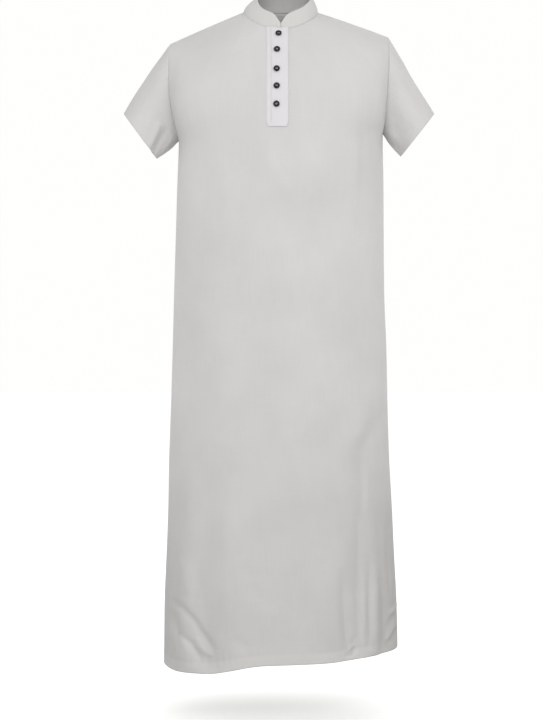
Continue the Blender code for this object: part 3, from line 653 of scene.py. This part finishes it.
def hem_puckers(x, from_hem, drift):
    """Tiny puckers along the hem's stitching, about 15 mm from one to the next."""
    pucker_rise, pucker_span, pucker_reach = 0.0003, 0.0024, 0.010
    strength = pucker_rise * np.exp(-(((from_hem - hem_depth) / pucker_reach) ** 2))
    return strength * np.sin(x / pucker_span + 2.0 * np.sin(x / drift))


# How far one wave of the cloth reaches across, in depth and down
long_waves = (0.060, 0.120, 0.210)
short_waves = (0.022, 0.060, 0.055)
front_skin = outer_skin("front", (0.05, -0.30, -0.8))
# The faces are finer where the small creases lie.
refine(front_skin, lambda at: at.z < -1.05 or (at.x > 0.10 and at.z < -0.76))
sew_to(front_skin, sewn_edges)
front_runs = edge_runs(front_skin)
front_hem = run_near(front_runs, (0.0, -0.16, -1.366))
front_seams = seams_at(front_runs, SIDE_PLACES + ARMHOLE_PLACES + SHOULDER_PLACES, -1)
places = np.array([vert.co for vert in front_skin.verts])
from_hem = distance_to([front_hem], places)
from_seam = distance_to(front_seams, places)
x, y, z = places.T
# The cloth lies still along its seams, under the placket and at the shoulders.
placket_middle, placket_half, placket_end = -0.007, 0.024, -0.256
past_its_side = np.maximum(np.abs(x - placket_middle) - placket_half, 0)
past_its_end = np.maximum(placket_end - z, 0)
beside_placket = ease(np.hypot(past_its_side, past_its_end), 0.0, 0.02)
calm = ease(from_seam, 0.0, 0.020) * beside_placket * ease(-z, 0.05, 0.12)
towards_hem = ease(-z, 0.75, 1.15)
rise = slow_waves(places, long_waves, 0.0012)
rise += slow_waves(places + 3.0, short_waves, 0.0003) * (1 + towards_hem)
rise += crease_rise(places[:, [0, 2]], FRONT_CREASES) * (1 + 0.25 * towards_hem)
rise += hem_puckers(x, from_hem, 0.017)
lift_skin(front_skin, rise * calm)
front_cut = panel_cut(places, -1)
front_cloth = cloth_piece("front_cloth", front_skin, "front", front_cut, from_hem, from_seam)
front_tree = BVHTree.FromBMesh(front_skin)
front_turned = turned_hem("front_turned_hem", front_tree, front_hem, hem_depth, chest_middle)

# Back panel
# The same cotton in one piece, a little wider at the hem, hanging from the shoulder seams in long soft
# folds below the shoulder blades. Sewn to the front down both sides and along the shoulders.
BACK_CREASES = (
    (((-0.120, -0.120), (-0.060, -0.230), (-0.040, -0.330)), 0.016, 0.0018),
    (((0.125, -0.115), (0.070, -0.220), (0.048, -0.340)), 0.016, 0.0018),
    (((-0.095, -0.150), (-0.030, -0.260)), 0.012, -0.0014),
    (((0.100, -0.140), (0.038, -0.270)), 0.012, -0.0014),
    (((-0.060, -0.420), (-0.066, -0.640)), 0.013, 0.0018),
    (((0.020, -0.440), (0.024, -0.700)), 0.014, -0.0018),
    (((0.100, -0.480), (0.108, -0.720)), 0.012, 0.0018),
    (((-0.165, -0.300), (-0.170, -0.520)), 0.012, -0.0016),
    (((-0.150, -0.820), (-0.158, -1.180)), 0.012, 0.0026),
    (((-0.105, -0.860), (-0.110, -1.340)), 0.013, -0.0024),
    (((-0.050, -0.930), (-0.055, -1.300)), 0.011, 0.0024),
    (((0.012, -0.900), (0.018, -1.250)), 0.013, 0.0022),
    (((0.070, -0.960), (0.074, -1.330)), 0.011, -0.0024),
    (((0.128, -0.880), (0.134, -1.330)), 0.012, 0.0028),
    (((0.178, -1.020), (0.188, -1.330)), 0.010, -0.0024),
    (((-0.200, -1.040), (-0.206, -1.350)), 0.010, -0.0024),
    (((-0.228, -1.240), (-0.196, -1.272), (-0.170, -1.300)), 0.008, 0.0026),
    (((-0.185, -1.290), (-0.150, -1.330)), 0.007, -0.0028),
    (((0.224, -1.215), (0.190, -1.250), (0.172, -1.290)), 0.008, -0.0026),
    (((0.212, -1.250), (0.186, -1.286)), 0.006, 0.0022),
    (((-0.020, -1.290), (-0.012, -1.360)), 0.008, -0.0020),
    (((0.045, -1.280), (0.050, -1.350)), 0.008, 0.0018),
)

back_skin = outer_skin("back", (0.05, 0.30, -0.8))
refine(back_skin, lambda at: at.z < -1.05)
sew_to(back_skin, sewn_edges)
back_runs = edge_runs(back_skin)
back_hem = run_near(back_runs, (0.0, 0.17, -1.38))
places = np.array([vert.co for vert in back_skin.verts])
from_hem = distance_to([back_hem], places)
back_seams = seams_at(back_runs, SIDE_PLACES + ARMHOLE_PLACES + SHOULDER_PLACES, 1)
from_seam = distance_to(back_seams, places)
x, y, z = places.T
calm = ease(from_seam, 0.0, 0.030) * ease(-z, 0.03, 0.10)
rise = crease_rise(places[:, [0, 2]], BACK_CREASES)
rise += slow_waves(places, long_waves, 0.0014)
rise += slow_waves(places + 3.0, short_waves, 0.0003)
rise += hem_puckers(x, from_hem, 0.019)
lift_skin(back_skin, rise * calm)
back_cut = panel_cut(places, 1)
back_cloth = cloth_piece("back_cloth", back_skin, "back", back_cut, from_hem, from_seam)
back_tree = BVHTree.FromBMesh(back_skin)
back_turned = turned_hem("back_turned_hem", back_tree, back_hem, hem_depth, chest_middle)

# Sleeves
# Set-in short sleeves, each one tube of the body cotton with its seam under the arm. The cap is sewn into
# the armhole and the hem is turned up inside by 20 mm. Their creases lie round the arm and down it.
SLEEVE_COLUMNS = ("side", "node", "hem_middle", "tilt", "creases")
SLEEVES = (
    (
        -1,
        "sleeve_left",
        (-0.2990, -0.004, -0.2618),
        math.radians(36.4),
        (
            (((0.104, 0.096), (0.124, 0.128), (0.141, 0.158)), 0.008, 0.0056),
            (((0.126, 0.092), (0.144, 0.120), (0.162, 0.152)), 0.008, -0.0044),
            (((0.150, 0.080), (0.168, 0.110), (0.182, 0.140)), 0.008, 0.0022),
            (((0.128, 0.088), (0.168, 0.096)), 0.005, 0.0018),
            (((-0.060, 0.020), (-0.090, 0.120)), 0.014, -0.0022),
            (((-0.130, 0.030), (-0.120, 0.130)), 0.013, 0.0022),
        ),
    ),
    (
        1,
        "sleeve_right",
        (0.2915, -0.004, -0.2600),
        math.radians(38.2),
        (
            (((0.100, 0.060), (0.104, 0.145)), 0.014, -0.0012),
            (((0.150, 0.050), (0.152, 0.140)), 0.016, 0.0040),
            (((-0.070, 0.020), (-0.085, 0.120)), 0.014, 0.0022),
            (((-0.125, 0.040), (-0.120, 0.130)), 0.012, -0.0020),
        ),
    ),
)
sleeve_hem_depth = 0.020
arm_radius = 0.062
cap_to_hem = 0.150
sleeve_trees = []
for row in SLEEVES:
    sleeve = dict(zip(SLEEVE_COLUMNS, row))
    side, tilt = sleeve["side"], sleeve["tilt"]
    hem_middle = Vector(sleeve["hem_middle"])
    along_arm = Vector((side * math.cos(tilt), 0.0, -math.sin(tilt)))
    up = Vector((side * math.sin(tilt), 0.0, math.cos(tilt)))
    above_sleeve = hem_middle - along_arm * 0.06 + up * 0.14
    skin = outer_skin(sleeve["node"], above_sleeve, 3)
    sew_to(skin, sewn_edges)
    runs = edge_runs(skin)
    cuff = run_near(runs, hem_middle + up * 0.06)
    armhole = run_near(runs, (side * 0.235, -0.062, -0.165))
    places = np.array([vert.co for vert in skin.verts])
    out = places - np.array(hem_middle)
    angle = np.arctan2(-out[:, 1], out @ np.array(up))
    down_arm = out @ np.array(along_arm) + cap_to_hem
    from_seam = distance_to([armhole], places)
    calm = ease(from_seam, 0.0, 0.025)
    rise = crease_rise(np.stack([angle * arm_radius, down_arm], axis=1), sleeve["creases"])
    rise += slow_waves(places + 7.0, (0.045, 0.045, 0.060), 0.0012)
    lift_skin(skin, rise * calm)
    sleeve_cut = np.stack([np.abs(angle) * arm_radius, down_arm, places[:, 1] * 4.0 + side], axis=1)
    far = np.full(len(places), 1.0)
    sleeve_cloth = cloth_piece(
        sleeve["node"] + "_cloth", skin, sleeve["node"], sleeve_cut, far, from_seam
    )
    skin_tree = BVHTree.FromBMesh(skin)
    inner_end = hem_middle - along_arm * 0.12
    sleeve_turned = turned_hem(
        sleeve["node"] + "_turned_hem", skin_tree, cuff, sleeve_hem_depth, inner_end
    )
    sleeve_trees.append((sleeve["node"], skin_tree, cuff, inner_end))

# Collar
# A band collar 33 mm high in two layers of the body cotton with a firm interlining between them, its
# front ends cut to a soft round. Sewn to the neck edge and topstitched 4 mm in from its own edge.
collar_cotton = woven_cotton("interlined cotton poplin", "#D7D5D2", "#CFCDCA", "#D7D5D2")
foot_reach = 0.0035
lowest_neck = -0.06
sewn_ends = [end for edge in sewn_edges for end in edge]
neck_edge = np.array(
    [end for end in sewn_ends if math.hypot(end[0], end[1]) < neck_reach and end[2] > lowest_neck]
)


def sink_foot(band, depth):
    """Lowers the band's foot a little, so that no light shows through its seam to the neck edge."""
    for vert in band.verts:
        place = np.array(vert.co)
        if np.linalg.norm(neck_edge - place, axis=1).min() < foot_reach:
            vert.co.z -= depth


def rounded_solid(name, node, edge_radius, material, slit_half=None, press=None, sunk_foot=0.0):
    """A packed strip of cloth layers with its edges softly rounded; its ends at a slit draw together.

    A pressed strip is moved back onto the cloth below by one distance and thinned in front by another."""
    slit_kept = 0.25
    rough = welded(node)
    if press:
        rough.normal_update()
        moved, thinned = press
        shifts = [moved + (thinned if vert.normal.y < 0 else 0.0) for vert in rough.verts]
        for vert, shift in zip(rough.verts, shifts):
            vert.co.y += shift
    if sunk_foot:
        sink_foot(rough, sunk_foot)
    if slit_half:
        for vert in rough.verts:
            if abs(vert.co.x) < slit_half and vert.co.y < 0:
                vert.co.x *= slit_kept
    most, most_in_shape = math.radians(30), math.radians(60)
    bmesh.ops.join_triangles(
        rough, faces=rough.faces, angle_face_threshold=most, angle_shape_threshold=most_in_shape
    )
    sharp = [edge for edge in rough.edges if edge.is_manifold and edge.calc_face_angle() > skin_bend]
    bmesh.ops.bevel(
        rough, geom=sharp, offset=edge_radius, segments=2, profile=0.5, affect="EDGES", clamp_overlap=True
    )
    fine = smoothed(name, rough, 2)
    mesh = bpy.data.meshes.new(name)
    fine.to_mesh(mesh)
    fine.free()
    places = np.array([vert.co for vert in mesh.vertices])
    far = np.full(len(places), 1.0)
    write_cut(mesh, np.stack([places[:, 0], places[:, 2], places[:, 1]], axis=1), far, far)
    piece = riding(name, mesh, material)
    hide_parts(node)
    return piece


collar_cloth = rounded_solid(
    "collar_cloth", "collar", 0.0006, collar_cotton, slit_half=0.003, sunk_foot=0.0008
)

# Placket
# Two strips of the same cotton, folded double and pressed flat, so that they look whiter than the body.
# The under strip lies over both edges of the slit. The over strip laps it and is sewn through at its end.
placket_cotton = woven_cotton("pressed cotton poplin", "#E1DFE0", "#DBD9DA", "#E1DFE0")
strip_press = (0.0004, 0.0003)
placket_under_cloth = rounded_solid(
    "placket_under_cloth", "placket_under", 0.0003, placket_cotton, press=strip_press
)
placket_over_cloth = rounded_solid(
    "placket_over_cloth", "placket_over", 0.0003, placket_cotton, press=strip_press
)

# Topstitching
# Lock stitches in polyester-cotton thread, 2.5 to 3 mm long: along each hem, round the armholes and
# shoulders on the body side, round the collar and down the placket, whose boxed end they close.
thread_radius = 0.00022
hem_thread_radius = 0.00010
thread, tree, shader = new_material(
    "spun polyester thread", {"IOR": 1.5, "Sheen Weight": 0.15, "Sheen Roughness": 0.4}
)
thread_place = add_node(tree, "ShaderNodeTexCoord")
# The two plies are twisted once in 0.8 mm.
plies = add_node(
    tree,
    "ShaderNodeTexWave",
    {"wave_type": "BANDS", "bands_direction": "DIAGONAL", "Scale": 200.0, "Distortion": 0.6},
    {"Vector": thread_place.outputs["Object"]},
)
thread_colour = add_node(
    tree,
    "ShaderNodeMix",
    {"data_type": "RGBA", 6: linear("#CFCDCB"), 7: linear("#E3E1DE")},
    {0: plies.outputs["Fac"]},
)
thread_gloss = add_node(
    tree, "ShaderNodeMapRange", {"To Min": 0.70, "To Max": 0.55}, {"Value": plies.outputs["Fac"]}
)
tree.links.new(thread_colour.outputs[2], shader.inputs["Base Color"])
tree.links.new(thread_gloss.outputs[0], shader.inputs["Roughness"])


def stitched(name, lines, length=0.0030, pitch=0.0038, radius=thread_radius):
    """Stitches along lines of places and facings: short threads that dip into the cloth at both ends."""
    sides, places, faces = 6, [], []
    # Rings along a stitch: the way from its middle, the thickness and the height over the cloth
    end, bend, top = (0.45, -0.9), (0.95, 0.0), (1.05, 0.45)
    profile = ((-1.0, *end), (-0.7, *bend), (0.0, *top), (0.7, *bend), (1.0, *end))
    for line in lines:
        walked = [0.0]
        for (a, _), (b, _) in zip(line, line[1:]):
            walked.append(walked[-1] + (b - a).length)
        count = int(walked[-1] / pitch)
        k = 0
        for number in range(count):
            middle = (number + 0.5) * walked[-1] / count
            while walked[k + 1] < middle:
                k += 1
            (a, facing_a), (b, facing_b) = line[k], line[k + 1]
            share = (middle - walked[k]) / (walked[k + 1] - walked[k])
            centre, facing = a.lerp(b, share), facing_a.lerp(facing_b, share).normalized()
            along = (b - a).normalized()
            aside = along.cross(facing).normalized()
            first = len(places)
            for way, size, height in profile:
                ring_middle = centre + along * (way * length / 2) + facing * (height * radius)
                for side in range(sides):
                    turn = 2 * math.pi * side / sides
                    spoke = aside * math.cos(turn) + facing * math.sin(turn)
                    places.append(tuple(ring_middle + spoke * (size * radius)))
            for ring in range(len(profile) - 1):
                for side in range(sides):
                    a0 = first + ring * sides + side
                    b0 = first + ring * sides + (side + 1) % sides
                    faces.append((a0, b0, b0 + sides, a0 + sides))
            faces.append(tuple(first + side for side in reversed(range(sides))))
            last = first + (len(profile) - 1) * sides
            faces.append(tuple(last + side for side in range(sides)))
    mesh = bpy.data.meshes.new(name)
    mesh.from_pydata(places, [], faces)
    return riding(name, mesh, thread)


from_fold = 0.002
stitched("stitches_hem_front", [line_inside(front_tree, front_hem, hem_depth - from_fold, chest_middle)])
stitched("stitches_hem_back", [line_inside(back_tree, back_hem, hem_depth - from_fold, chest_middle)])
for name, skin_tree, cuff, inner_end in sleeve_trees:
    line = line_inside(skin_tree, cuff, sleeve_hem_depth - from_fold, inner_end)
    stitched("stitches_" + name, [line], radius=hem_thread_radius)
armhole_stitch = 0.0065
body_seams = []
for skin_tree, skin, turn in ((front_tree, front_skin, -1), (back_tree, back_skin, 1)):
    runs = edge_runs(skin)
    for run in seams_at(runs, ARMHOLE_PLACES, turn):
        body_seams.append(line_inside(skin_tree, run, armhole_stitch, chest_middle))
    if turn > 0:
        for place, run in zip(SHOULDER_PLACES, seams_at(runs, SHOULDER_PLACES, turn)):
            below = Vector((place[0], 0.1, -0.2))
            body_seams.append(line_inside(skin_tree, run, armhole_stitch, below))
stitched("stitches_shoulders", body_seams)

collar_skin = outer_skin("collar", (0.075, -0.02, 0.012), 3)
collar_tree = BVHTree.FromBMesh(collar_skin)
# The collar's short runs aren't stitched. A run along its top reaches above the level of its foot.
short_run, short_count, foot_level = 0.02, 40, 0.02
collar_lines = []
for run in edge_runs(collar_skin):
    points = [vert.co.copy() for vert in run]
    if (points[-1] - points[0]).length < short_run and len(points) < short_count:
        continue
    is_top = max(point.z for point in points) > foot_level
    toward = Vector((0.0, 0.0, -0.5 if is_top else 0.5))
    collar_lines.append(line_inside(collar_tree, points, 0.004 if is_top else 0.002, toward))
small_stitches = {"length": 0.0025, "pitch": 0.0032}
stitched("stitches_collar", collar_lines, **small_stitches)


def laid_on(tree, points, step=0.004):
    """A line drawn in front view, in x and z, laid on the surface behind it."""
    line = []
    for (x0, z0), (x1, z1) in zip(points, points[1:]):
        count = max(int(math.hypot(x1 - x0, z1 - z0) / step), 1)
        for k in range(count + 1):
            at = Vector((x0 + (x1 - x0) * k / count, -1.0, z0 + (z1 - z0) * k / count))
            hit = tree.ray_cast(at, Vector((0.0, 1.0, 0.0)))
            if hit[0] is not None:
                line.append((hit[0], hit[1]))
    return [point for k, point in enumerate(line) if k == 0 or (point[0] - line[k - 1][0]).length > 1e-5]


def surface_tree(piece):
    """A piece's surface, to lay lines on."""
    shape = bmesh.new()
    shape.from_mesh(piece.data)
    tree = BVHTree.FromBMesh(shape)
    shape.free()
    return tree


over_tree = surface_tree(placket_over_cloth)
under_tree = surface_tree(placket_under_cloth)
strip_left, strip_right, box_left = -0.0175, 0.0136, -0.0270
strip_top, box_top, box_end = -0.0455, -0.2385, -0.2506
placket_lines = [
    laid_on(over_tree, ((strip_left, strip_top), (strip_left, box_top))),
    laid_on(over_tree, ((strip_right, strip_top), (strip_right, box_end))),
    laid_on(over_tree, ((box_left, box_top - 0.001), (strip_right, box_top - 0.001))),
    laid_on(over_tree, ((box_left, box_top - 0.001), (box_left, box_end), (strip_right, box_end))),
    laid_on(under_tree, ((box_left, strip_top), (box_left, box_top + 0.002))),
]
stitched("stitches_placket", placket_lines, **small_stitches)

# Buttons
# Five four-hole buttons of near-black polyester resin, turned with a rolled rim and a dished middle and
# tumbled to a soft gloss. Each is sewn on with pale thread and closes over an upright buttonhole.
button_radius = 0.0066
button_thickness = 0.0026
button_sides = 48
hole_radius = 0.00075
hole_spread = 0.00150
resin, tree, shader = new_material("polyester button resin", {"IOR": 1.45})
resin_place = add_node(tree, "ShaderNodeTexCoord")
swirl = add_node(
    tree,
    "ShaderNodeTexNoise",
    {"Scale": 260.0, "Detail": 4.0, "Distortion": 1.2},
    {"Vector": resin_place.outputs["Object"]},
)
resin_colour = add_node(
    tree,
    "ShaderNodeMix",
    {"data_type": "RGBA", 6: linear("#070708"), 7: linear("#131314")},
    {0: swirl.outputs["Fac"]},
)
resin_gloss = add_node(
    tree, "ShaderNodeMapRange", {"To Min": 0.26, "To Max": 0.42}, {"Value": swirl.outputs["Fac"]}
)
tumbled = add_node(
    tree, "ShaderNodeBump", {"Strength": 1.0, "Distance": 0.00002}, {"Height": swirl.outputs["Fac"]}
)
tree.links.new(resin_colour.outputs[2], shader.inputs["Base Color"])
tree.links.new(resin_gloss.outputs[0], shader.inputs["Roughness"])
tree.links.new(tumbled.outputs["Normal"], shader.inputs["Normal"])

# Half a section, from the middle of the back to that of the dish, as shares of radius and thickness
BUTTON_PROFILE = (
    (0.00, 0.00),
    (0.78, 0.00),
    (0.93, 0.12),
    (1.00, 0.40),
    (0.99, 0.70),
    (0.94, 0.90),
    (0.86, 1.00),
    (0.78, 0.97),
    (0.70, 0.80),
    (0.62, 0.68),
    (0.30, 0.62),
    (0.00, 0.61),
)
turned = bmesh.new()
outline = [turned.verts.new((r * button_radius, 0.0, h * button_thickness)) for r, h in BUTTON_PROFILE]
edges = [turned.edges.new(pair) for pair in zip(outline, outline[1:])]
bmesh.ops.spin(
    turned, geom=outline + edges, cent=(0, 0, 0), axis=(0, 0, 1), angle=2 * math.pi, steps=button_sides
)
bmesh.ops.remove_doubles(turned, verts=turned.verts, dist=1e-6)
bmesh.ops.recalc_face_normals(turned, faces=turned.faces)
turned_mesh = bpy.data.meshes.new("turned button")
turned.to_mesh(turned_mesh)
turned.free()
pins = bmesh.new()
for k in range(4):
    turn = math.pi / 4 + k * math.pi / 2
    shift = Matrix.Translation((math.cos(turn) * hole_spread, math.sin(turn) * hole_spread, 0.0))
    bmesh.ops.create_cone(
        pins,
        cap_ends=True,
        segments=16,
        radius1=hole_radius,
        radius2=hole_radius,
        depth=button_thickness * 3,
        matrix=shift,
    )
pin_mesh = bpy.data.meshes.new("drill pins")
pins.to_mesh(pin_mesh)
pins.free()
blank = in_scene("button blank", turned_mesh)
drill = in_scene("drill pins", pin_mesh)
drilled = blank.modifiers.new("drilled", "BOOLEAN")
drilled.operation, drilled.object = "DIFFERENCE", drill
button_mesh = bpy.data.meshes.new_from_object(blank.evaluated_get(bpy.context.evaluated_depsgraph_get()))
button_mesh.materials.append(resin)
button_mesh.shade_smooth()
button_mesh.set_sharp_from_angle(angle=math.radians(50))
for obj in (blank, drill):
    bpy.data.objects.remove(obj)

seat_height = 0.62 * button_thickness
strand_gap, strand_lift = 0.00042, 0.0002
buttonhole_length, buttonhole_width = 0.0165, 0.0036
for number in range(1, 6):
    node = f"button_{number}"
    corners = np.array([vert.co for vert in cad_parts[node].data.vertices])
    middle = corners.mean(axis=0)
    _, ways = np.linalg.eigh(np.cov((corners - middle).T))
    facing = Vector(ways[:, 0])
    if facing.y > 0:
        facing.negate()
    reach = (corners - middle) @ np.array(facing)
    back_of_button = Vector(middle) + facing * float(reach.min())
    upright = (Vector((0, 0, 1)) - facing * facing.z).normalized()
    aside = upright.cross(facing).normalized()
    turn = Matrix((aside, upright, facing)).transposed().to_4x4()
    turn.translation = back_of_button
    button = in_scene(f"resin_button_{number}", button_mesh.copy())
    button.data.transform(turn)
    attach(button, "root")
    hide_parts(node)

    # Two bars of thread, each of two strands from a hole to the one below it
    bars = []
    for way in (-1, 1):
        for strand in (-0.5, 0.5):
            x = way * hole_spread * math.cos(math.pi / 4) + strand * strand_gap
            y = hole_spread * math.sin(math.pi / 4) + 0.0002
            points = [turn @ Vector((x, y * end, seat_height + strand_lift)) for end in (-1.0, 0.0, 1.0)]
            bars.append([(point, facing.copy()) for point in points])
    stitched(f"button_thread_{number}", bars, length=0.0026, pitch=0.0020)

    # The buttonhole: a slit edged with close cross stitches, rounded at both ends
    rim, count = [], 56
    straight = (buttonhole_length - buttonhole_width) / 2
    end_radius = buttonhole_width / 2 * 0.62
    for k in range(count + 1):
        angle = 2 * math.pi * k / count
        x = end_radius * math.cos(angle)
        y = end_radius * math.sin(angle) + straight * max(-1.0, min(1.0, 2.2 * math.sin(angle)))
        hit = over_tree.find_nearest(back_of_button + aside * x + upright * y)
        rim.append((hit[0], facing.copy()))
    stitched(f"buttonhole_{number}", [rim], length=0.0010, pitch=0.00055, radius=0.00050)
